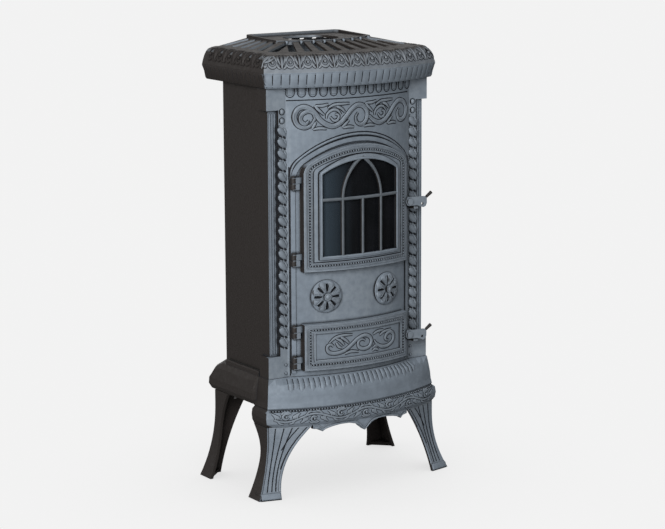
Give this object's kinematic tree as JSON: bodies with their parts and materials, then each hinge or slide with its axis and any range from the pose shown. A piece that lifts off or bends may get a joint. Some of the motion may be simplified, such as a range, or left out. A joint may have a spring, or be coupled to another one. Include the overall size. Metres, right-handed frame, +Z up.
{
  "type": "potbelly stove",
  "caption": "Tall cast-iron room stove with a bowed front, arched glazed fire door, ash door, turning air rosettes, flared legs and an openwork crown.",
  "frame": {"origin": "on the floor, under the middle of the bounding box", "axes": "+X to the stove's right as seen from in front, +Y to the back, +Z up; the doors face -Y"},
  "size_m": [0.502, 0.361, 0.987],
  "materials": {
    "cast_front": "matte blue-grey stove black on cast iron",
    "cast_side": "matte stove black on cast iron",
    "cast_inner": "rough, smoke-blackened cast iron",
    "window_glass": "dark, slightly smoked fire glass",
    "firebrick": "matte fired clay brick",
    "pan_sheet": "matte black painted sheet steel",
    "rope_seal": "woven mineral-fibre rope",
    "fixings": "blackened steel"
  },
  "bodies": {
    "stove": {"base_casting": "cast_front", "leg_front_left": "cast_front", "leg_front_right": "cast_front", "leg_rear_left": "cast_side", "leg_rear_right": "cast_side", "leg_bolts": "fixings", "front_plate": "cast_front", "side_plate_left": "cast_side", "side_plate_right": "cast_side", "back_plate": "cast_side", "grate_shelf": "cast_inner", "fire_grate": "cast_inner", "brick_left": "firebrick", "brick_right": "firebrick", "brick_back": "firebrick", "baffle_plate": "cast_inner", "pan_runners": "cast_inner", "ash_pan": "pan_sheet", "ash_pan_handle": "fixings", "top_plate": "cast_side", "hotplate_lid": "cast_side", "cornice": "cast_front", "crown": "cast_front", "flue_collar": "cast_side", "flue_bolts": "fixings", "hinge_pins": "fixings", "latch_strikers": "fixings", "rosette_spindles": "fixings"},
    "draught_left": {"air_rosette_left": "cast_front"},
    "draught_right": {"air_rosette_right": "cast_front"},
    "fire_door": {"fire_door": "cast_front", "window_pane": "window_glass", "pane_clips": "fixings", "clip_screws": "fixings", "fire_door_seal": "rope_seal", "fire_latch_pivot": "fixings"},
    "ash_door": {"ash_door": "cast_front", "ash_door_seal": "rope_seal", "ash_latch_pivot": "fixings"},
    "fire_latch": {"fire_latch": "cast_front", "fire_latch_grip": "fixings"},
    "ash_latch": {"ash_latch": "cast_front", "ash_latch_grip": "fixings"}
  },
  "joints": [
    {"name": "fire_door_hinge", "type": "hinge", "parent": "stove", "child": "fire_door", "pos_m": [-0.151, -0.1245, 0.592], "axis": [0, 0, -1], "range_deg": [0, 110]},
    {"name": "ash_door_hinge", "type": "hinge", "parent": "stove", "child": "ash_door", "pos_m": [-0.151, -0.1245, 0.327], "axis": [0, 0, -1], "range_deg": [0, 110]},
    {"name": "fire_latch_lift", "type": "hinge", "parent": "fire_door", "child": "fire_latch", "pos_m": [0.137, -0.1415, 0.625], "axis": [0, -1, 0], "range_deg": [0, 70]},
    {"name": "ash_latch_lift", "type": "hinge", "parent": "ash_door", "child": "ash_latch", "pos_m": [0.137, -0.1415, 0.325], "axis": [0, -1, 0], "range_deg": [0, 70]},
    {"name": "draught_turn_left", "type": "hinge", "parent": "stove", "child": "draught_left", "pos_m": [-0.078, -0.13727, 0.436], "axis": [-0.2088, -0.978, 0], "range_deg": [0, 22.5]},
    {"name": "draught_turn_right", "type": "hinge", "parent": "stove", "child": "draught_right", "pos_m": [0.078, -0.13727, 0.436], "axis": [0.2088, -0.978, 0], "range_deg": [0, 22.5]}
  ]
}
